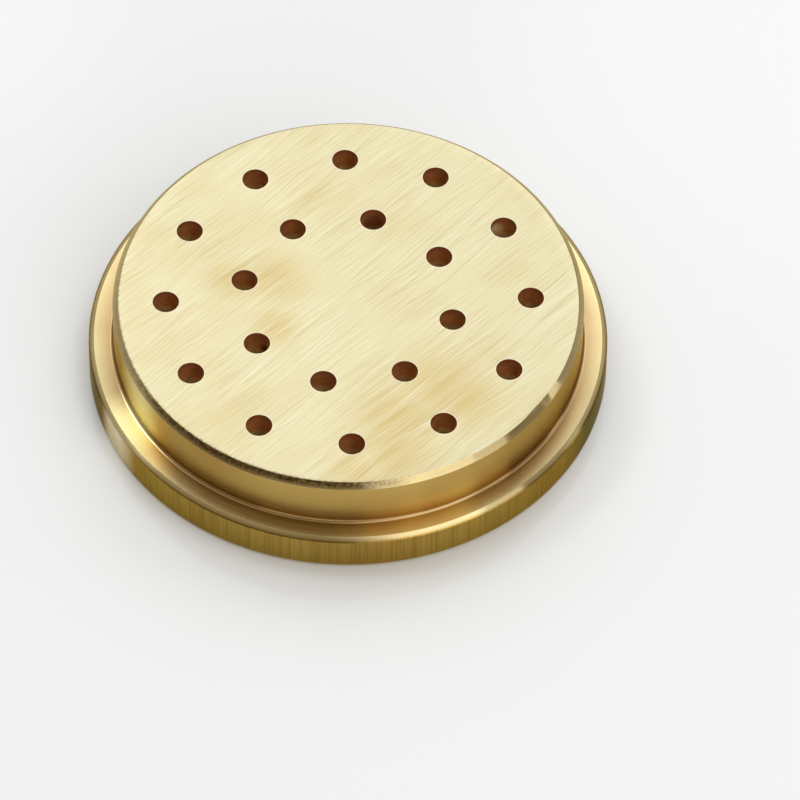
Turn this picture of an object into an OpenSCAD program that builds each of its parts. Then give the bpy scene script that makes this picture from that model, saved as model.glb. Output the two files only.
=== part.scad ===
// Pasta extrusion die for a small counter-top press: one flanged disc turned from brass bar,
// drilled with two rings of stepped channels that press dough into round strands.
// Millimetres. The inlet face lies on z = 0 and the outlet face looks up along +Z.

/* [Body] */
// Diameter of the flange that seats in the press head
flange_d = 59; // [58:0.5:66]
// Thickness of the flange, inlet face to clamping ledge
flange_t = 4.65; // [3.5:0.05:7]
// Diameter of the nose that stands through the ring nut
nose_d = 53.4; // [51:0.1:55]
// Height of the nose above the clamping ledge
nose_h = 6.35; // [5:0.05:10]

/* [Edges] */
// Chamfer round the outlet face, equal on both legs
nose_chamfer = 0.64; // [0.2:0.02:1]
// Radius left by the tool where the nose meets the ledge
foot_fillet = 0.4; // [0.1:0.05:0.8]
// Radial leg of the chamfer on the ledge's outer edge
ledge_chamfer_w = 0.6; // [0.2:0.05:0.8]
// Axial leg of the chamfer on the ledge's outer edge
ledge_chamfer_h = 0.4; // [0.2:0.05:0.8]
// Chamfer round the inlet face, equal on both legs
inlet_chamfer = 0.4; // [0.2:0.05:0.8]

/* [Outlet holes] */
// Diameter of the outlet holes, which sets the strand
outlet_d = 2.9; // [2:0.1:3.6]
// Length of the straight land behind the outlet face
land_l = 4; // [2.5:0.1:5]
// Number of holes in the outer ring
outer_count = 12; // [6:1:16]
// Pitch circle diameter of the outer ring
outer_pcd = 41.3; // [38:0.1:43]
// Number of holes in the inner ring
inner_count = 8; // [4:1:10]
// Pitch circle diameter of the inner ring
inner_pcd = 24.2; // [20:0.1:26]
// Turn of the inner ring from the outer one, clockwise seen from the outlet face
inner_turn = 14.5; // [0:0.5:45]

/* [Feed bores] */
// Diameter of the feed bores that open on the inlet face
feed_d = 5; // [4.2:0.1:5.6]
// Point angle of the drill that sinks the feed bores
drill_point = 118; // [90:1:140]
// Countersink on the mouth of each feed bore
mouth_chamfer = 0.3; // [0.1:0.05:0.4]

/* [Hidden] */
flange_r = flange_d / 2;
nose_r = nose_d / 2;
total_h = flange_t + nose_h;
ledge_w = flange_r - nose_r - ledge_chamfer_w;
fillet_r = min(foot_fillet, ledge_w);

outlet_r = outlet_d / 2;
feed_r = feed_d / 2;
cone_h = (feed_r - outlet_r) / tan(drill_point / 2);
feed_l = total_h - land_l - cone_h;

// The first hole of the outer ring lies on +Y
first_angle = 90;
// How far a cutter runs past the face it opens, and how far joined outlines lap
cut_over = 1;
lap = 0.1;

brass = "#d9c584";
$fn = 96;

// Half section of the turned blank, radius along X and height along Y
module blank_section() {
    polygon([
        [0, 0],
        [flange_r - inlet_chamfer, 0],
        [flange_r, inlet_chamfer],
        [flange_r, flange_t - ledge_chamfer_h],
        [flange_r - ledge_chamfer_w, flange_t],
        [nose_r, flange_t],
        [nose_r, total_h - nose_chamfer],
        [nose_r - nose_chamfer, total_h],
        [0, total_h]
    ]);
    foot_section();
}

// Concave corner between the nose and the ledge
module foot_section() {
    difference() {
        translate([nose_r - lap, flange_t - lap])
            square(fillet_r + lap);
        translate([nose_r + fillet_r, flange_t + fillet_r])
            circle(r = fillet_r);
    }
}

// One stepped channel: countersunk mouth, feed bore, drill cone and outlet land
module channel() {
    rotate_extrude()
        polygon([
            [0, -cut_over],
            [feed_r + mouth_chamfer, -cut_over],
            [feed_r + mouth_chamfer, 0],
            [feed_r, mouth_chamfer],
            [feed_r, feed_l],
            [outlet_r, feed_l + cone_h],
            [outlet_r, total_h + cut_over],
            [0, total_h + cut_over]
        ]);
}

// Evenly spaced channels on one pitch circle
module channel_ring(count, pcd, start) {
    for (i = [0 : count - 1])
        rotate(start - i * 360 / count)
            translate([pcd / 2, 0, 0])
                channel();
}

module die_body() {
    color(brass)
        difference() {
            rotate_extrude() blank_section();
            channel_ring(outer_count, outer_pcd, first_angle);
            channel_ring(inner_count, inner_pcd, first_angle - inner_turn);
        }
}

die_body();
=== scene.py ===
import math

import bmesh
import bpy
from mathutils import Matrix, Vector, noise


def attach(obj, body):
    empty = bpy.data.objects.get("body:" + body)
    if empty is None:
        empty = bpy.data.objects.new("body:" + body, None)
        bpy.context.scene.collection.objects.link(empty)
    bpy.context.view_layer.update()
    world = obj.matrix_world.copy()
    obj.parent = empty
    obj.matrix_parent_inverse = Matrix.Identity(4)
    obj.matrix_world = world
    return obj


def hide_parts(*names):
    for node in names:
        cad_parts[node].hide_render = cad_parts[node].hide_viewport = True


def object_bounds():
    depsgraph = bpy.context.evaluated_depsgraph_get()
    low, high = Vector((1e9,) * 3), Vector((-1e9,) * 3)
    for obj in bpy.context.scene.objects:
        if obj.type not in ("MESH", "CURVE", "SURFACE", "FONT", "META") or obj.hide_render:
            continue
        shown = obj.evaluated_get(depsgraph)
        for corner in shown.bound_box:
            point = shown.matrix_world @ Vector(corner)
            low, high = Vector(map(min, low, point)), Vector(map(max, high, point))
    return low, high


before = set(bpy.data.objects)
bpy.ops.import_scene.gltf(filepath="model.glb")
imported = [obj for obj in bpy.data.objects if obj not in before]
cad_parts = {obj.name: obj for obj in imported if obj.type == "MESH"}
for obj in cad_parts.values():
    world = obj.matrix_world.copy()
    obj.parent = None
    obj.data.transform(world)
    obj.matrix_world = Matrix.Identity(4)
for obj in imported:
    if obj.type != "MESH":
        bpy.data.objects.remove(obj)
cadLow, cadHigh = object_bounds()
mm = 0.001
print("frame loaded,", [round(side / mm, 2) for side in cadHigh - cadLow], "mm")

# The turned blank, in millimetres. The two outer sizes come from the frame.
blank = {
    "rimRadius": cadHigh.x / mm,
    "height": cadHigh.z / mm,
    "flangeThickness": 4.65,
    "noseRadius": 26.7,
    "noseChamfer": 0.64,
    "footFillet": 0.4,
    "ledgeChamfer": (0.6, 0.4),  # radial leg, axial leg
    "inletChamfer": 0.4,
    "edgeBreak": 0.05,  # small round that turning leaves on an edge
    "faceMargin": 1.4,  # width of the plain ring that closes each flat face
    "segments": 1080,
}

# The drilled channels, in millimetres and degrees.
channel = {
    "rings": ((12, 41.3, 90.0), (8, 24.2, 75.5)),  # count, pitch circle, first angle
    "outletRadius": 1.45,
    "landLength": 4.0,
    "feedRadius": 2.5,
    "drillPoint": 118.0,
    "mouthChamfer": 0.3,
    "lipBreak": 0.05,
    "lipDepth": 0.1,  # how far down the rubbed lip of a hole reaches
    "faceMargin": 0.2,
    "segments": 64,
}

# Wear on the edge of the outlet face, in millimetres and degrees.
wear = {
    "grain": 42.0,  # direction of the linishing, from +X
    "ragDepth": 0.02,  # how far the linished edge wanders where the scratches cross it
    "ragLengths": (0.55, 0.25),
    "ragShift": 7.3,  # sets the waves of the wander apart
    "ragCalm": 0.25,  # share of the wander that is left where the scratches run along the edge
    "edgeReach": 0.2,  # how far from the edge it moves the surface
    "nicks": ((-34.0, 1.6, 0.08), (-38.0, 2.6, 0.14)),  # angle, width, depth
    "biteDepth": 0.4,  # dark bites where the belt tears the edge
    "biteSize": 0.28,
    "biteSide": -138.0,  # the side of the face where the belt leaves it
    "biteReach": (0.3, 0.8),  # where they begin and are full on the way to that side, 1 is the edge
    "biteCalm": 0.45,  # share that is left on the other sides
    "burrSide": -120.0,  # the middle of the dark burr on the chamfer
    "burrReach": (0.68, 0.9),
    "burrCalm": 0.12,
}

surfaces = ("linishedBrass", "turnedBrass", "drilledBrass", "facedBrass")


def cornerArc(before, corner, after, radius, steps):
    toBefore = (before - corner).normalized()
    toAfter = (after - corner).normalized()
    half = toBefore.angle(toAfter) / 2
    centre = corner + (toBefore + toAfter).normalized() * radius / math.sin(half)
    start = corner + toBefore * radius / math.tan(half) - centre
    sweep = start.angle_signed(corner + toAfter * radius / math.tan(half) - centre)
    return [centre + Matrix.Rotation(-sweep * step / steps, 2) @ start for step in range(steps + 1)]


def outline(corners):
    # a corner holds its point, the radius and steps of its round, and the surface that runs on from it
    found = []
    for index, (point, radius, steps, surface) in enumerate(corners):
        here = Vector(point)
        if radius == 0:
            found.append((here, surface))
            continue
        before, after = Vector(corners[index - 1][0]), Vector(corners[index + 1][0])
        found += [(spot, surface) for spot in cornerArc(before, here, after, radius, steps)]
    return found


def blankOutline():
    rim, nose, height = blank["rimRadius"], blank["noseRadius"], blank["height"]
    ledge, tiny = blank["flangeThickness"], blank["edgeBreak"]
    wide, deep = blank["ledgeChamfer"]
    inlet, outlet = blank["inletChamfer"], blank["noseChamfer"]
    return outline([
        ((rim - inlet - blank["faceMargin"], 0), 0, 1, "facedBrass"),
        ((rim - inlet, 0), tiny, 3, "turnedBrass"),
        ((rim, inlet), tiny, 3, "turnedBrass"),
        ((rim, ledge - deep), tiny, 3, "turnedBrass"),
        ((rim - wide, ledge), tiny, 3, "turnedBrass"),
        ((nose, ledge), blank["footFillet"], 8, "turnedBrass"),
        ((nose, height - outlet), tiny, 3, "turnedBrass"),
        ((nose - outlet, height), tiny, 3, "linishedBrass"),
        ((nose - outlet - blank["faceMargin"], height), 0, 1, "linishedBrass"),
    ])


def channelOutline():
    height, land, feed = blank["height"], channel["outletRadius"], channel["feedRadius"]
    coneTop = height - channel["landLength"]
    coneFoot = coneTop - (feed - land) / math.tan(math.radians(channel["drillPoint"] / 2))
    mouth, tiny, margin = channel["mouthChamfer"], channel["lipBreak"], channel["faceMargin"]
    return outline([
        ((land + margin, height), 0, 1, "linishedBrass"),
        ((land, height), tiny, 3, "drilledBrass"),
        ((land, coneTop), tiny, 2, "drilledBrass"),
        ((feed, coneFoot), tiny, 2, "drilledBrass"),
        ((feed, mouth), tiny, 2, "drilledBrass"),
        ((feed + mouth, 0), tiny, 2, "facedBrass"),
        ((feed + mouth + margin, 0), 0, 1, "facedBrass"),
    ])


def edgeWear(angle):
    # how far the linished edge is pushed in here: its wander where the scratches cross it, and the nicks
    across = abs(math.cos(angle - math.radians(wear["grain"])))
    calm = wear["ragCalm"]
    push = 0.0
    for turn, length in enumerate(wear["ragLengths"]):
        reach = blank["noseRadius"] / length
        spot = Vector((math.cos(angle) * reach, math.sin(angle) * reach, wear["ragShift"] * turn))
        wave = noise.noise(spot)
        push += wave * wear["ragDepth"] * (calm + (1 - calm) * across ** 2) / (turn + 1)
    for place, width, depth in wear["nicks"]:
        apart = (angle - math.radians(place) + math.pi) % (2 * math.pi) - math.pi
        push += depth * math.exp(-(apart * blank["noseRadius"] / width * 2) ** 2)
    return push


def sweepRings(mesh, spots, centre, count, worn=False):
    # turns an outline round an upright axis and returns its first and last ring of edges
    lip = mesh.verts.layers.float["lip"]
    lipRadius = channel["outletRadius"] + channel["lipBreak"]
    lipFoot = blank["height"] - channel["lipDepth"]
    edgeRadius, reach = blank["noseRadius"] - blank["noseChamfer"], wear["edgeReach"]
    rings = []
    for spot, _ in spots:
        ring = []
        onEdge = 0.0
        if worn and spot.y > blank["height"] - reach:
            onEdge = max(0.0, 1 - abs(spot.x - edgeRadius) / reach)
        for step in range(count):
            angle = 2 * math.pi * step / count
            radius = spot.x - (edgeWear(angle) * onEdge if onEdge else 0.0)
            place = centre + Vector((radius * math.cos(angle), radius * math.sin(angle), spot.y))
            vertex = mesh.verts.new(place * mm)
            vertex[lip] = float(not worn and spot.x <= lipRadius and spot.y > lipFoot)
            ring.append(vertex)
        rings.append(ring)
    for (low, high), (_, surface) in zip(zip(rings, rings[1:]), spots):
        slot = surfaces.index(surface)
        for step in range(count):
            following = (step + 1) % count
            face = mesh.faces.new((low[step], low[following], high[following], high[step]))
            face.material_index = slot
            face.smooth = True
    ends = []
    for ring in (rings[0], rings[-1]):
        ends.append([mesh.edges.get((ring[step], ring[(step + 1) % count])) for step in range(count)])
    return ends


def fillFace(mesh, edges, surface):
    made = bmesh.ops.triangle_fill(mesh, edges=edges, use_beauty=True)
    for item in made["geom"]:
        if isinstance(item, bmesh.types.BMFace):
            item.material_index = surfaces.index(surface)
            item.smooth = True


def buildDie():
    mesh = bmesh.new()
    mesh.verts.layers.float.new("lip")
    inletEdges, outletEdges = sweepRings(mesh, blankOutline(), Vector(), blank["segments"], worn=True)
    spots = channelOutline()
    for count, pitchCircle, first in channel["rings"]:
        for step in range(count):
            angle = math.radians(first - 360 * step / count)
            centre = Vector((math.cos(angle), math.sin(angle), 0)) * pitchCircle / 2
            outletRing, inletRing = sweepRings(mesh, spots, centre, channel["segments"])
            outletEdges += outletRing
            inletEdges += inletRing
    fillFace(mesh, outletEdges, "linishedBrass")
    fillFace(mesh, inletEdges, "facedBrass")
    bmesh.ops.recalc_face_normals(mesh, faces=mesh.faces)
    data = bpy.data.meshes.new("dieBody")
    mesh.to_mesh(data)
    mesh.free()
    # a map whose U runs across the linishing, for the stretched highlights
    grain = data.uv_layers.new(name="grainMap")
    turn = Matrix.Rotation(math.radians(90 - wear["grain"]), 2)
    for loop in data.loops:
        spot = data.vertices[loop.vertex_index].co.xy
        grain.data[loop.index].uv = (turn @ spot) / (2 * cadHigh.x) + Vector((0.5, 0.5))
    piece = bpy.data.objects.new("dieBody", data)
    bpy.context.scene.collection.objects.link(piece)
    return piece


def linear(hexCode):
    parts = [int(hexCode[place:place + 2], 16) / 255 for place in (1, 3, 5)]
    return (*[part / 12.92 if part <= 0.04045 else ((part + 0.055) / 1.055) ** 2.4 for part in parts], 1.0)


def addNode(tree, kind, inputs=(), **settings):
    node = tree.nodes.new(kind)
    for name, value in settings.items():
        setattr(node, name, value)
    for name, value in dict(inputs).items():
        if isinstance(value, bpy.types.NodeSocket):
            tree.links.new(value, node.inputs[name])
        else:
            node.inputs[name].default_value = value
    return node


def newMaterial(name):
    material = bpy.data.materials.new(name)
    material.use_nodes = True
    tree = material.node_tree
    tree.nodes.clear()
    shader = addNode(tree, "ShaderNodeBsdfPrincipled")
    addNode(tree, "ShaderNodeOutputMaterial", {"Surface": shader.outputs["BSDF"]})
    return material, tree, shader


# Belt-linished brass: fine scratches all one way, a pale silky sheen, yellower film left round some holes.
linished = {
    "pale": "#d9d1aa",
    "yellow": "#c9b172",
    "bright": "#e8e4cf",
    "dark": "#b8a166",
    "torn": "#5c431f",
    "roughness": (0.3, 0.42),
    "stretch": 0.8,  # of the highlights, across the scratches
    # length and width in mm, and degrees off the grain; real grit marks are finer and would not show
    "marks": {
        "scratch": (11.0, 0.1, 0),
        "cross": (13.0, 0.15, -7),
        "gouge": (26.0, 0.22, 6),
        "streak": (40.0, 1.2, -2),
    },
    # some scratches lose the light and some catch it: where each starts and is full, its share, its tone
    "shows": (
        ("scratch", 0.52, 0.76, 0.4, "dark"),
        ("gouge", 0.58, 0.74, 0.45, "dark"),
        ("cross", 0.56, 0.76, 0.35, "dark"),
        ("cross", 0.42, 0.26, 0.4, "bright"),
        ("scratch", 0.46, 0.26, 0.5, "bright"),
        ("gouge", 0.4, 0.26, 0.5, "bright"),
    ),
    "scratchDepth": 0.003,
    "patchSize": 9.0,  # clouds of thin film, mm
    "patchShare": 0.42,
    "streakShare": 0.62,  # film that is left where the streaks are cleanest
    # film round the holes: place and reach, mm
    "stains": (
        (-13.2, 3.2, 5.0), (-8.2, 3.0, 6.2), (-8.3, -3.8, 4.4), (10.0, -12.4, 8.5),
        (5.4, -17.3, 8.5), (12.8, -14.6, 7.0), (4.8, -21.6, 8.0), (0.3, -24.5, 5.5),
    ),
    "stainShare": 0.85,
    "biteShare": 0.55,
    "lipShare": 0.5,
}


def linishedBrass():
    material, tree, shader = newMaterial("linishedBrass")
    place = addNode(tree, "ShaderNodeTexCoord").outputs["Object"]
    marks = {}
    for name, (long, wide, swing) in linished["marks"].items():
        lay = addNode(tree, "ShaderNodeMapping", {
            "Vector": place,
            "Rotation": (0, 0, math.radians(wear["grain"] + swing)),
            "Scale": (long * mm, wide * mm, mm),
        }, vector_type="TEXTURE")
        marks[name] = addNode(tree, "ShaderNodeTexNoise", {
            "Vector": lay.outputs["Vector"], "Scale": 1.0, "Detail": 2.0, "Roughness": 0.55,
        }).outputs["Fac"]
    cloud = addNode(tree, "ShaderNodeTexNoise", {
        "Vector": place, "Scale": 1 / (linished["patchSize"] * mm), "Detail": 2.0,
    }).outputs["Fac"]
    film = addNode(tree, "ShaderNodeMapRange", {
        "Value": cloud, "From Min": 0.44, "From Max": 0.76, "To Max": linished["patchShare"],
    }).outputs["Result"]
    for x, y, reach in linished["stains"]:
        apart = addNode(tree, "ShaderNodeVectorMath", {
            0: place, 1: (x * mm, y * mm, cadHigh.z),
        }, operation="DISTANCE").outputs["Value"]
        spot = addNode(tree, "ShaderNodeMapRange", {
            "Value": apart, "From Max": reach * mm, "To Min": linished["stainShare"], "To Max": 0.0,
        }, interpolation_type="SMOOTHSTEP").outputs["Result"]
        film = addNode(tree, "ShaderNodeMath", {0: film, 1: spot}, operation="MAXIMUM").outputs["Value"]
    streak = addNode(tree, "ShaderNodeMapRange", {
        "Value": marks["streak"], "From Min": 0.36, "From Max": 0.64, "To Min": linished["streakShare"],
    }).outputs["Result"]
    yellowing = addNode(tree, "ShaderNodeMath", {0: streak, 1: film}, operation="MULTIPLY").outputs["Value"]
    tone = addNode(tree, "ShaderNodeMix", {
        "Factor": yellowing, "A": linear(linished["pale"]), "B": linear(linished["yellow"]),
    }, data_type="RGBA").outputs["Result"]
    for name, start, end, share, colour in linished["shows"]:
        mark = addNode(tree, "ShaderNodeMapRange", {
            "Value": marks[name], "From Min": start, "From Max": end, "To Max": share,
        }).outputs["Result"]
        tone = addNode(tree, "ShaderNodeMix", {
            "Factor": mark, "A": tone, "B": linear(linished[colour]),
        }, data_type="RGBA").outputs["Result"]
    # dark bites along the edge of the face
    flat = addNode(tree, "ShaderNodeVectorMath", {
        0: place, 1: (1, 1, 0),
    }, operation="MULTIPLY").outputs["Vector"]
    radius = addNode(tree, "ShaderNodeVectorMath", {0: flat}, operation="LENGTH").outputs["Value"]
    edge = (blank["noseRadius"] - blank["noseChamfer"]) * mm
    reach = addNode(tree, "ShaderNodeMapRange", {
        "Value": radius, "From Min": edge - wear["biteDepth"] * mm, "From Max": edge,
    }).outputs["Result"]
    tear = addNode(tree, "ShaderNodeTexNoise", {
        "Vector": place, "Scale": 1 / (wear["biteSize"] * mm), "Detail": 2.0,
    }).outputs["Fac"]
    side = math.radians(wear["biteSide"])
    leaving = addNode(tree, "ShaderNodeVectorMath", {
        0: flat, 1: (math.cos(side), math.sin(side), 0),
    }, operation="DOT_PRODUCT").outputs["Value"]
    start, end = wear["biteReach"]
    leaving = addNode(tree, "ShaderNodeMapRange", {
        "Value": leaving, "From Min": start * edge, "From Max": end * edge, "To Min": wear["biteCalm"],
    }).outputs["Result"]
    for share in (reach, leaving):
        tear = addNode(tree, "ShaderNodeMath", {0: tear, 1: share}, operation="MULTIPLY").outputs["Value"]
    bite = addNode(tree, "ShaderNodeMapRange", {
        "Value": tear, "From Min": 0.28, "From Max": 0.46, "To Max": linished["biteShare"],
    }).outputs["Result"]
    tone = addNode(tree, "ShaderNodeMix", {
        "Factor": bite, "A": tone, "B": linear(linished["torn"]),
    }, data_type="RGBA").outputs["Result"]
    # the lips of the holes are rubbed brighter
    lip = addNode(tree, "ShaderNodeAttribute", attribute_name="lip").outputs["Fac"]
    lip = addNode(tree, "ShaderNodeMath", {
        0: lip, 1: linished["lipShare"],
    }, operation="MULTIPLY").outputs["Value"]
    tone = addNode(tree, "ShaderNodeMix", {
        "Factor": lip, "A": tone, "B": linear(linished["bright"]),
    }, data_type="RGBA").outputs["Result"]
    low, high = linished["roughness"]
    gloss = addNode(tree, "ShaderNodeMapRange", {
        "Value": marks["scratch"], "From Min": 0.3, "From Max": 0.7, "To Min": low, "To Max": high,
    })
    bump = addNode(tree, "ShaderNodeBump", {
        "Height": marks["scratch"], "Strength": 1.0, "Distance": linished["scratchDepth"] * mm,
    })
    tangent = addNode(tree, "ShaderNodeTangent", direction_type="UV_MAP", uv_map="grainMap")
    tree.links.new(tone, shader.inputs["Base Color"])
    tree.links.new(gloss.outputs["Result"], shader.inputs["Roughness"])
    tree.links.new(bump.outputs["Normal"], shader.inputs["Normal"])
    tree.links.new(tangent.outputs["Tangent"], shader.inputs["Tangent"])
    shader.inputs["Metallic"].default_value = 1.0
    shader.inputs["Anisotropic"].default_value = linished["stretch"]
    return material


# Lathe-turned brass: fine grooves round the axis, so highlights stretch up and down the walls.
# What faces up is paler, partly rubbed brass and partly a painted highlight; the upright walls are darker
# and yellower as painted shade, and the rim is a darker olive as painted shade.
turned = {
    # pale tone where the surface faces up: partly rubbed brass, partly painted highlight
    "rubbedAndLit": "#d4c593",
    # darker tone of the upright walls: painted shade
    "wall": "#c6a75f",
    # the rim's darker olive tone is painted shade
    "rim": "#b09247",
    "drawn": "#967b3a",
    # tone of the tarnish clouds, and of the painted shade in the corner
    "foot": "#8c4f1e",
    # painted highlight on the rim
    "spot": "#f0e6c4",
    # painted highlight on the nose wall and ledge
    "paintedHighlight": "#e9dda4",
    # painted dark reflection on the rim
    "paintedDarkReflection": "#6f6238",
    "burr": "#4f3816",
    "grazing": "#d2c8ac",  # keeps the walls brassy at a flat angle
    # painted light on the walls, patches of painted dark reflection and painted highlight: which wall,
    # where each one starts and fades in degrees, and its tone
    "patches": (
        # painted dark reflections on the rim
        ("rim", (-180.0, -169.0), (-164.0, -158.0), "paintedDarkReflection"),
        ("rim", (-35.0, -25.0), (-15.0, -3.0), "paintedDarkReflection"),
        # a painted highlight on the rim
        ("rim", (-161.5, -157.0), (-152.0, -145.5), "spot"),
        # a painted highlight on the nose wall and ledge
        ("nose", (-163.5, -156.0), (-150.5, -143.5), "paintedHighlight"),
    ),
    # where each wall's tone starts and is full, mm in from the rim
    "walls": {"rim": (0.3, 0.05), "nose": (0.3, 0.6)},
    "roughness": (0.15, 0.2),
    "wallSoftness": 0.06,  # roughness that the upright walls have on top of that
    "groovePitch": 0.16,  # mm; the tool's feed is nearer 0.05 and would not show
    "grooveLength": 40.0,
    "grooveDepth": 0.001,
    "drawnSize": (0.28, 12.0),  # width and length of the lines that drawing leaves along the bar, mm
    "tarnishSize": 14.0,
    "tarnishShare": 0.35,
    "footReach": 2.2,  # of the painted shade in the corner, mm
    "footShare": 0.5,
    "burrSize": 0.3,
    "burrShare": (0.25, 0.9),
    "burrOver": 0.03,  # how far the burr hangs over the foot of the chamfer, mm
}


def turnedBrass():
    material, tree, shader = newMaterial("turnedBrass")
    place = addNode(tree, "ShaderNodeTexCoord").outputs["Object"]
    axes = addNode(tree, "ShaderNodeSeparateXYZ", {"Vector": place})
    flat = addNode(tree, "ShaderNodeCombineXYZ", {"X": axes.outputs["X"], "Y": axes.outputs["Y"]})
    radius = addNode(tree, "ShaderNodeVectorMath", {
        0: flat.outputs["Vector"],
    }, operation="LENGTH").outputs["Value"]
    along = addNode(tree, "ShaderNodeMath", {
        0: radius, 1: axes.outputs["Z"],
    }, operation="ADD").outputs["Value"]
    # grooves: quick change along the profile, slow change round the axis
    lay = addNode(tree, "ShaderNodeCombineXYZ", {
        "X": axes.outputs["X"], "Y": axes.outputs["Y"], "Z": along,
    })
    length, pitch = turned["grooveLength"] * mm, turned["groovePitch"] * mm
    stretch = addNode(tree, "ShaderNodeMapping", {
        "Vector": lay.outputs["Vector"], "Scale": (length, length, pitch),
    }, vector_type="TEXTURE")
    groove = addNode(tree, "ShaderNodeTexNoise", {
        "Vector": stretch.outputs["Vector"], "Scale": 1.0, "Detail": 2.0,
    }).outputs["Fac"]
    cloud = addNode(tree, "ShaderNodeTexNoise", {
        "Vector": place, "Scale": 1 / (turned["tarnishSize"] * mm), "Detail": 3.0,
    }).outputs["Fac"]
    normal = addNode(tree, "ShaderNodeNewGeometry").outputs["True Normal"]
    up = addNode(tree, "ShaderNodeSeparateXYZ", {"Vector": normal}).outputs["Z"]
    # painted highlight and shade by the way the surface faces: up is pale, upright is darker
    rubbedAndLit = addNode(tree, "ShaderNodeMapRange", {
        "Value": up, "From Min": 0.3, "From Max": 0.7,
    }).outputs["Result"]
    tone = addNode(tree, "ShaderNodeMix", {
        "Factor": rubbedAndLit, "A": linear(turned["wall"]), "B": linear(turned["rubbedAndLit"]),
    }, data_type="RGBA").outputs["Result"]
    walls = {}
    for name, (start, end) in turned["walls"].items():
        walls[name] = addNode(tree, "ShaderNodeMapRange", {
            "Value": radius, "From Min": cadHigh.x - start * mm, "From Max": cadHigh.x - end * mm,
        }).outputs["Result"]
    # the rim keeps the skin of the drawn bar: fine lines along the axis, on a darker tone that is painted
    # shade
    wide, long = turned["drawnSize"]
    lay = addNode(tree, "ShaderNodeMapping", {
        "Vector": place, "Scale": (wide * mm, wide * mm, long * mm),
    }, vector_type="TEXTURE")
    line = addNode(tree, "ShaderNodeTexNoise", {
        "Vector": lay.outputs["Vector"], "Scale": 1.0, "Detail": 2.0,
    }).outputs["Fac"]
    line = addNode(tree, "ShaderNodeMapRange", {
        "Value": line, "From Min": 0.35, "From Max": 0.7,
    }).outputs["Result"]
    skin = addNode(tree, "ShaderNodeMix", {
        "Factor": line, "A": linear(turned["rim"]), "B": linear(turned["drawn"]),
    }, data_type="RGBA").outputs["Result"]
    tone = addNode(tree, "ShaderNodeMix", {
        "Factor": walls["rim"], "A": tone, "B": skin,
    }, data_type="RGBA").outputs["Result"]
    # clouds of tarnish, and painted shade in the corner between the nose and the ledge
    dull = addNode(tree, "ShaderNodeMapRange", {
        "Value": cloud, "From Min": 0.45, "From Max": 0.8, "To Max": turned["tarnishShare"],
    }).outputs["Result"]
    corner = Vector((blank["noseRadius"], 0, blank["flangeThickness"])) * mm
    section = addNode(tree, "ShaderNodeCombineXYZ", {"X": radius, "Z": axes.outputs["Z"]})
    apart = addNode(tree, "ShaderNodeVectorMath", {
        0: section.outputs["Vector"], 1: corner,
    }, operation="DISTANCE").outputs["Value"]
    cornerShade = addNode(tree, "ShaderNodeMapRange", {
        "Value": apart, "From Max": turned["footReach"] * mm, "To Min": turned["footShare"], "To Max": 0.0,
    }).outputs["Result"]
    for share in (dull, cornerShade):
        tone = addNode(tree, "ShaderNodeMix", {
            "Factor": share, "A": tone, "B": linear(turned["foot"]),
        }, data_type="RGBA").outputs["Result"]
    angle = addNode(tree, "ShaderNodeMath", {
        0: axes.outputs["Y"], 1: axes.outputs["X"],
    }, operation="ARCTAN2").outputs["Value"]
    # painted highlights and dark reflections, fixed at angles round the axis
    for wall, starts, fades, colour in turned["patches"]:
        patch = walls[wall]
        for (start, end), (first, last) in ((starts, (0.0, 1.0)), (fades, (1.0, 0.0))):
            side = addNode(tree, "ShaderNodeMapRange", {
                "Value": angle, "From Min": math.radians(start), "From Max": math.radians(end),
                "To Min": first, "To Max": last,
            }).outputs["Result"]
            patch = addNode(tree, "ShaderNodeMath", {
                0: patch, 1: side,
            }, operation="MULTIPLY").outputs["Value"]
        tone = addNode(tree, "ShaderNodeMix", {
            "Factor": patch, "A": tone, "B": linear(turned[colour]),
        }, data_type="RGBA").outputs["Result"]
    # a dark burr on the chamfer, where the linishing belt leaves the face
    chamfer = addNode(tree, "ShaderNodeMapRange", {
        "Value": axes.outputs["Z"],
        "From Min": cadHigh.z - (blank["noseChamfer"] + turned["burrOver"]) * mm,
        "From Max": cadHigh.z - blank["noseChamfer"] / 2 * mm,
    }).outputs["Result"]
    burr = addNode(tree, "ShaderNodeTexNoise", {
        "Vector": place, "Scale": 1 / (turned["burrSize"] * mm), "Detail": 2.0,
    }).outputs["Fac"]
    low, high = turned["burrShare"]
    burr = addNode(tree, "ShaderNodeMapRange", {
        "Value": burr, "From Min": 0.3, "From Max": 0.6, "To Min": low, "To Max": high,
    }).outputs["Result"]
    side = math.radians(wear["burrSide"])
    leaving = addNode(tree, "ShaderNodeVectorMath", {
        0: place, 1: (math.cos(side), math.sin(side), 0),
    }, operation="DOT_PRODUCT").outputs["Value"]
    edge = blank["noseRadius"] * mm
    start, end = wear["burrReach"]
    leaving = addNode(tree, "ShaderNodeMapRange", {
        "Value": leaving, "From Min": start * edge, "From Max": end * edge, "To Min": wear["burrCalm"],
    }).outputs["Result"]
    for share in (chamfer, leaving):
        burr = addNode(tree, "ShaderNodeMath", {0: burr, 1: share}, operation="MULTIPLY").outputs["Value"]
    tone = addNode(tree, "ShaderNodeMix", {
        "Factor": burr, "A": tone, "B": linear(turned["burr"]),
    }, data_type="RGBA").outputs["Result"]
    low, high = turned["roughness"]
    gloss = addNode(tree, "ShaderNodeMapRange", {
        "Value": groove, "From Min": 0.3, "From Max": 0.7, "To Min": low, "To Max": high,
    }).outputs["Result"]
    softer = addNode(tree, "ShaderNodeMapRange", {
        "Value": rubbedAndLit, "To Min": turned["wallSoftness"], "To Max": 0.0,
    }).outputs["Result"]
    gloss = addNode(tree, "ShaderNodeMath", {0: gloss, 1: softer}, operation="ADD").outputs["Value"]
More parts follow.
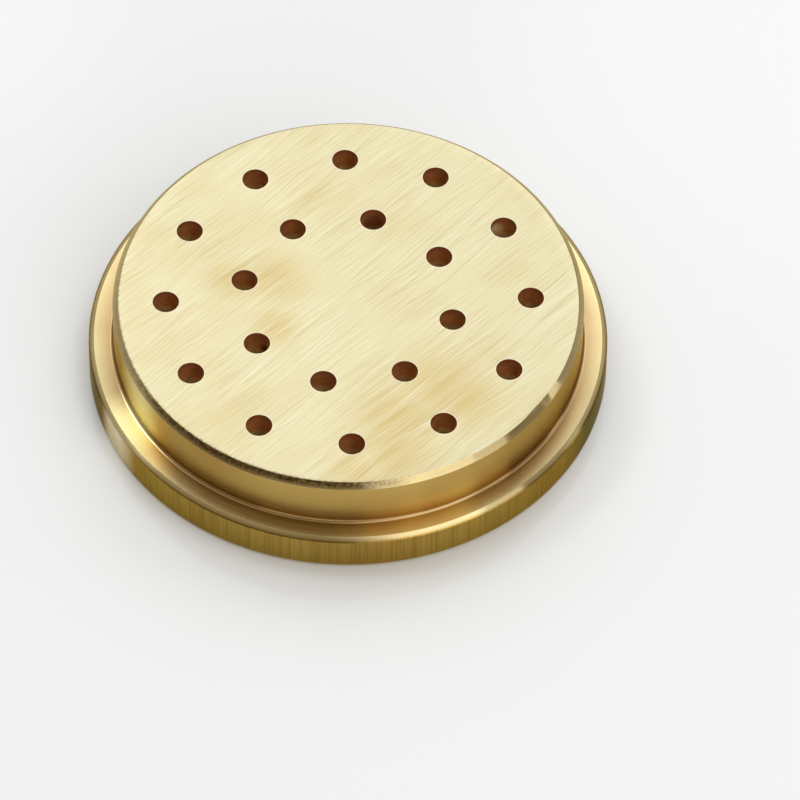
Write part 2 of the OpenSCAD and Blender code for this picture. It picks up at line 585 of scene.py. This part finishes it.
    bump = addNode(tree, "ShaderNodeBump", {
        "Height": groove, "Strength": 1.0, "Distance": turned["grooveDepth"] * mm,
    })
    tangent = addNode(tree, "ShaderNodeTangent", direction_type="RADIAL", axis="Z")
    tree.links.new(tone, shader.inputs["Base Color"])
    tree.links.new(gloss, shader.inputs["Roughness"])
    tree.links.new(bump.outputs["Normal"], shader.inputs["Normal"])
    tree.links.new(tangent.outputs["Tangent"], shader.inputs["Tangent"])
    shader.inputs["Metallic"].default_value = 1.0
    shader.inputs["Specular Tint"].default_value = linear(turned["grazing"])
    shader.inputs["Anisotropic"].default_value = 1.0
    shader.inputs["Anisotropic Rotation"].default_value = 0.25  # a quarter turn, across the grooves
    return material


# Drilled brass under the brown film that dough leaves: dull red-brown walls, with painted shade darkening
# the top of each bore and painted light making it lighter further in.
drilled = {
    # the dark tone at the top of each bore is painted shade
    "lip": "#733514",
    "deep": "#ffb96b",
    "land": "#ffeda8",
    "feed": "#b08a4e",
    "stain": "#5e2f14",
    "deepAt": 3.5,  # mm below the outlet face
    "landAt": (2.3, 3.3),  # where the tone starts and is full
    "feedAt": (4.0, 5.2),
    "roughness": 0.5,
    "stainSize": 1.3,
    "stainShare": 0.35,
    "spiralSize": (2.0, 0.25),  # length and pitch of the drill's marks, mm
    "spiralDepth": 0.01,
    # bits of dried dough and dark residue: place and reach in mm, colour
    "crumbs": (
        ((16.7, 11.2, 8.8), 1.7, "#f2e2ae"),
        ((3.0, 13.1, 9.0), 1.7, "#94603a"),
        ((-9.4, -5.2, 8.6), 0.9, "#6b3c1e"),
    ),
    "crumbShare": 0.85,
}


def drilledBrass():
    material, tree, shader = newMaterial("drilledBrass")
    place = addNode(tree, "ShaderNodeTexCoord").outputs["Object"]
    height = addNode(tree, "ShaderNodeSeparateXYZ", {"Vector": place}).outputs["Z"]
    # painted shade and light: darker at the top of the bore, lighter deeper in
    depth = addNode(tree, "ShaderNodeMapRange", {
        "Value": height, "From Min": cadHigh.z, "From Max": cadHigh.z - drilled["deepAt"] * mm,
    }).outputs["Result"]
    tone = addNode(tree, "ShaderNodeMix", {
        "Factor": depth, "A": linear(drilled["lip"]), "B": linear(drilled["deep"]),
    }, data_type="RGBA").outputs["Result"]
    # a pale band at the far end of the land is painted light, and the feed bore behind it is plain brass
    for name in ("land", "feed"):
        start, end = drilled[name + "At"]
        reached = addNode(tree, "ShaderNodeMapRange", {
            "Value": height, "From Min": cadHigh.z - start * mm, "From Max": cadHigh.z - end * mm,
        }).outputs["Result"]
        tone = addNode(tree, "ShaderNodeMix", {
            "Factor": reached, "A": tone, "B": linear(drilled[name]),
        }, data_type="RGBA").outputs["Result"]
    stain = addNode(tree, "ShaderNodeTexNoise", {
        "Vector": place, "Scale": 1 / (drilled["stainSize"] * mm), "Detail": 3.0,
    }).outputs["Fac"]
    stain = addNode(tree, "ShaderNodeMapRange", {
        "Value": stain, "From Min": 0.45, "From Max": 0.7, "To Max": drilled["stainShare"],
    }).outputs["Result"]
    tone = addNode(tree, "ShaderNodeMix", {
        "Factor": stain, "A": tone, "B": linear(drilled["stain"]),
    }, data_type="RGBA").outputs["Result"]
    for spot, reach, colour in drilled["crumbs"]:
        apart = addNode(tree, "ShaderNodeVectorMath", {
            0: place, 1: Vector(spot) * mm,
        }, operation="DISTANCE").outputs["Value"]
        share = addNode(tree, "ShaderNodeMapRange", {
            "Value": apart, "From Min": reach / 2 * mm, "From Max": reach * mm,
            "To Min": drilled["crumbShare"], "To Max": 0.0,
        }).outputs["Result"]
        tone = addNode(tree, "ShaderNodeMix", {
            "Factor": share, "A": tone, "B": linear(colour),
        }, data_type="RGBA").outputs["Result"]
    # marks of the drill's spiral
    long, pitch = drilled["spiralSize"]
    lay = addNode(tree, "ShaderNodeMapping", {
        "Vector": place, "Scale": (long * mm, long * mm, pitch * mm),
    }, vector_type="TEXTURE")
    mark = addNode(tree, "ShaderNodeTexNoise", {
        "Vector": lay.outputs["Vector"], "Scale": 1.0,
    }).outputs["Fac"]
    bump = addNode(tree, "ShaderNodeBump", {
        "Height": mark, "Strength": 1.0, "Distance": drilled["spiralDepth"] * mm,
    })
    tree.links.new(tone, shader.inputs["Base Color"])
    tree.links.new(bump.outputs["Normal"], shader.inputs["Normal"])
    shader.inputs["Metallic"].default_value = 0.0
    shader.inputs["Roughness"].default_value = drilled["roughness"]
    return material


# Faced brass: the lathe's rings on the inlet side, duller than the linished face.
faced = {
    "clean": "#d9c283",
    "tarnish": "#b3924c",
    "roughness": (0.26, 0.4),
    "stretch": 0.7,
    "ringPitch": 0.3,  # mm; drawn as coarse as it needs to show
    "tarnishSize": 11.0,
    "ringDepth": 0.002,
}


def facedBrass():
    material, tree, shader = newMaterial("facedBrass")
    place = addNode(tree, "ShaderNodeTexCoord").outputs["Object"]
    flat = addNode(tree, "ShaderNodeVectorMath", {
        0: place, 1: (1, 1, 0),
    }, operation="MULTIPLY").outputs["Vector"]
    radius = addNode(tree, "ShaderNodeVectorMath", {0: flat}, operation="LENGTH").outputs["Value"]
    turns = addNode(tree, "ShaderNodeMath", {
        0: radius, 1: faced["ringPitch"] * mm,
    }, operation="DIVIDE").outputs["Value"]
    ring = addNode(tree, "ShaderNodeTexNoise", {
        "W": turns, "Scale": 1.0, "Detail": 2.0,
    }, noise_dimensions="1D").outputs["Fac"]
    cloud = addNode(tree, "ShaderNodeTexNoise", {
        "Vector": place, "Scale": 1 / (faced["tarnishSize"] * mm), "Detail": 4.0,
    }).outputs["Fac"]
    dull = addNode(tree, "ShaderNodeMapRange", {
        "Value": cloud, "From Min": 0.35, "From Max": 0.7,
    }).outputs["Result"]
    tone = addNode(tree, "ShaderNodeMix", {
        "Factor": dull, "A": linear(faced["clean"]), "B": linear(faced["tarnish"]),
    }, data_type="RGBA")
    low, high = faced["roughness"]
    gloss = addNode(tree, "ShaderNodeMapRange", {
        "Value": cloud, "From Min": 0.3, "From Max": 0.7, "To Min": low, "To Max": high,
    })
    bump = addNode(tree, "ShaderNodeBump", {
        "Height": ring, "Strength": 1.0, "Distance": faced["ringDepth"] * mm,
    })
    tangent = addNode(tree, "ShaderNodeTangent", direction_type="RADIAL", axis="Z")
    tree.links.new(tone.outputs["Result"], shader.inputs["Base Color"])
    tree.links.new(gloss.outputs["Result"], shader.inputs["Roughness"])
    tree.links.new(bump.outputs["Normal"], shader.inputs["Normal"])
    tree.links.new(tangent.outputs["Tangent"], shader.inputs["Tangent"])
    shader.inputs["Metallic"].default_value = 1.0
    shader.inputs["Anisotropic"].default_value = faced["stretch"]
    shader.inputs["Anisotropic Rotation"].default_value = 0.25  # a quarter turn, across the grooves
    return material


dieBody = buildDie()
for make in (linishedBrass, turnedBrass, drilledBrass, facedBrass):
    dieBody.data.materials.append(make())
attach(dieBody, "root")
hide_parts("die_body")
print("die built:", len(dieBody.data.polygons), "faces")

# The camera, as the photograph was taken: a long lens looking down on the outlet face.
view = {
    "azimuth": -2.03,
    "elevation": 51.75,
    "roll": 0.95,
    "distance": 909.3,  # mm from the middle of the outlet face
    "aside": (5.832, -11.33),  # mm, how far the axis of the lens passes beside that point
    "lens": 361.7,
    "sensor": 36.0,
    "clip": (0.01, 20.0),  # m
}


def towards(azimuth, elevation):
    turn, lift = math.radians(azimuth), math.radians(elevation)
    return Vector((math.sin(turn) * math.cos(lift), -math.cos(turn) * math.cos(lift), math.sin(lift)))


def placeCamera():
    turn, roll = math.radians(view["azimuth"]), math.radians(view["roll"])
    back = towards(view["azimuth"], view["elevation"])
    level = Vector((math.cos(turn), math.sin(turn), 0))
    upright = back.cross(level)
    right = level * math.cos(roll) + upright * math.sin(roll)
    up = upright * math.cos(roll) - level * math.sin(roll)
    aside, above = view["aside"]
    spot = Vector((0, 0, cadHigh.z)) + (back * view["distance"] + right * aside + up * above) * mm
    data = bpy.data.cameras.new("photoCamera")
    data.lens = view["lens"]
    data.sensor_width = view["sensor"]
    data.clip_start, data.clip_end = view["clip"]
    camera = bpy.data.objects.new("photoCamera", data)
    camera.matrix_world = Matrix.Translation(spot) @ Matrix((right, up, back)).transposed().to_4x4()
    bpy.context.scene.collection.objects.link(camera)
    bpy.context.scene.camera = camera


placeCamera()

# Soft studio light. Azimuth is from the camera's side, to the right; distance and size are in metres.
# Brightness 1 shows as white in a mirror.
lamps = {
    "keySoftbox": {
        "azimuth": -122, "elevation": 53, "distance": 0.7,
        "size": (0.3, 0.1), "brightness": 4.80,
    },
    "overheadSoftbox": {
        "azimuth": 175, "elevation": 54, "distance": 0.9,
        "size": (1.2, 0.8), "brightness": 0.39,
    },
    "backLeftSoftbox": {
        "azimuth": -158, "elevation": 40, "distance": 0.8,
        "size": (0.35, 0.25), "brightness": 1.09,
    },
    "backRightSoftbox": {
        "azimuth": 152, "elevation": 42, "distance": 0.8,
        "size": (0.45, 0.25), "brightness": 0.98,
    },
    "rightSoftbox": {
        "azimuth": 40, "elevation": 36, "distance": 0.7,
        "size": (0.68, 0.5), "brightness": 0.91,
    },
    "rightCore": {
        "azimuth": 39, "elevation": 36, "distance": 0.65,
        "size": (0.3, 0.45), "brightness": 0.54,
    },
    "topSoftbox": {
        "azimuth": 42, "elevation": 68, "distance": 0.8,
        "size": (0.4, 0.4), "brightness": 1.15,
    },
    "sideSoftbox": {
        "azimuth": 94, "elevation": 20, "distance": 0.7,
        "size": (0.1, 0.16), "brightness": 1.58,
    },
    "frontSoftbox": {
        "azimuth": -4, "elevation": 12, "distance": 0.9,
        "size": (1.1, 0.26), "brightness": 0.90,
    },
}
# The floor, and the light that the room itself gives: bright high behind, dim and warm elsewhere.
room = {
    "floor": "#f6fbff",
    "floorSize": 3.0,
    "floorRoughness": 0.12,
    "bright": "#ececec",
    "dim": "#7f6c4c",
    "brightSide": (175, 50),  # azimuth and elevation
    "brightReach": (0.3, 0.95),  # where it starts and is full, 1 is straight that way
    "bandHeight": (0.5, 0.2),  # a paler band along the horizon: where it starts and is full, 1 is overhead
    "bandShare": 0.4,
}


def addSoftbox(name, lamp):
    way = towards(lamp["azimuth"], lamp["elevation"])
    data = bpy.data.lights.new(name, "AREA")
    data.shape = "RECTANGLE"
    data.size, data.size_y = lamp["size"]
    data.energy = lamp["brightness"] * math.pi * data.size * data.size_y
    softbox = bpy.data.objects.new(name, data)
    softbox.location = way * lamp["distance"]
    softbox.rotation_euler = way.to_track_quat("Z", "Y").to_euler()
    bpy.context.scene.collection.objects.link(softbox)


for name, lamp in lamps.items():
    addSoftbox(name, lamp)


def addRoom():
    half = room["floorSize"] / 2
    data = bpy.data.meshes.new("floor")
    corners = [(-half, -half, 0), (half, -half, 0), (half, half, 0), (-half, half, 0)]
    data.from_pydata(corners, [], [(0, 1, 2, 3)])
    floor = bpy.data.objects.new("floor", data)
    # glossy laminate: near white, with a soft mirror image
    material, _, shader = newMaterial("glossyLaminate")
    shader.inputs["Base Color"].default_value = linear(room["floor"])
    shader.inputs["Roughness"].default_value = room["floorRoughness"]
    data.materials.append(material)
    bpy.context.scene.collection.objects.link(floor)
    world = bpy.data.worlds.new("studioRoom")
    world.use_nodes = True
    tree = world.node_tree
    way = addNode(tree, "ShaderNodeTexCoord").outputs["Generated"]
    facing = addNode(tree, "ShaderNodeVectorMath", {
        0: way, 1: towards(*room["brightSide"]),
    }, operation="DOT_PRODUCT").outputs["Value"]
    start, end = room["brightReach"]
    share = addNode(tree, "ShaderNodeMapRange", {
        "Value": facing, "From Min": start, "From Max": end,
    }).outputs["Result"]
    up = addNode(tree, "ShaderNodeSeparateXYZ", {"Vector": way}).outputs["Z"]
    start, end = room["bandHeight"]
    band = addNode(tree, "ShaderNodeMapRange", {
        "Value": up, "From Min": start, "From Max": end, "To Max": room["bandShare"],
    }).outputs["Result"]
    share = addNode(tree, "ShaderNodeMath", {
        0: share, 1: band,
    }, operation="MAXIMUM").outputs["Value"]
    glow = addNode(tree, "ShaderNodeMix", {
        "Factor": share, "A": linear(room["dim"]), "B": linear(room["bright"]),
    }, data_type="RGBA")
    tree.links.new(glow.outputs["Result"], tree.nodes["Background"].inputs["Color"])
    bpy.context.scene.world = world


addRoom()
bpy.context.scene.view_settings.view_transform = "Standard"
print("camera, light and floor in place")
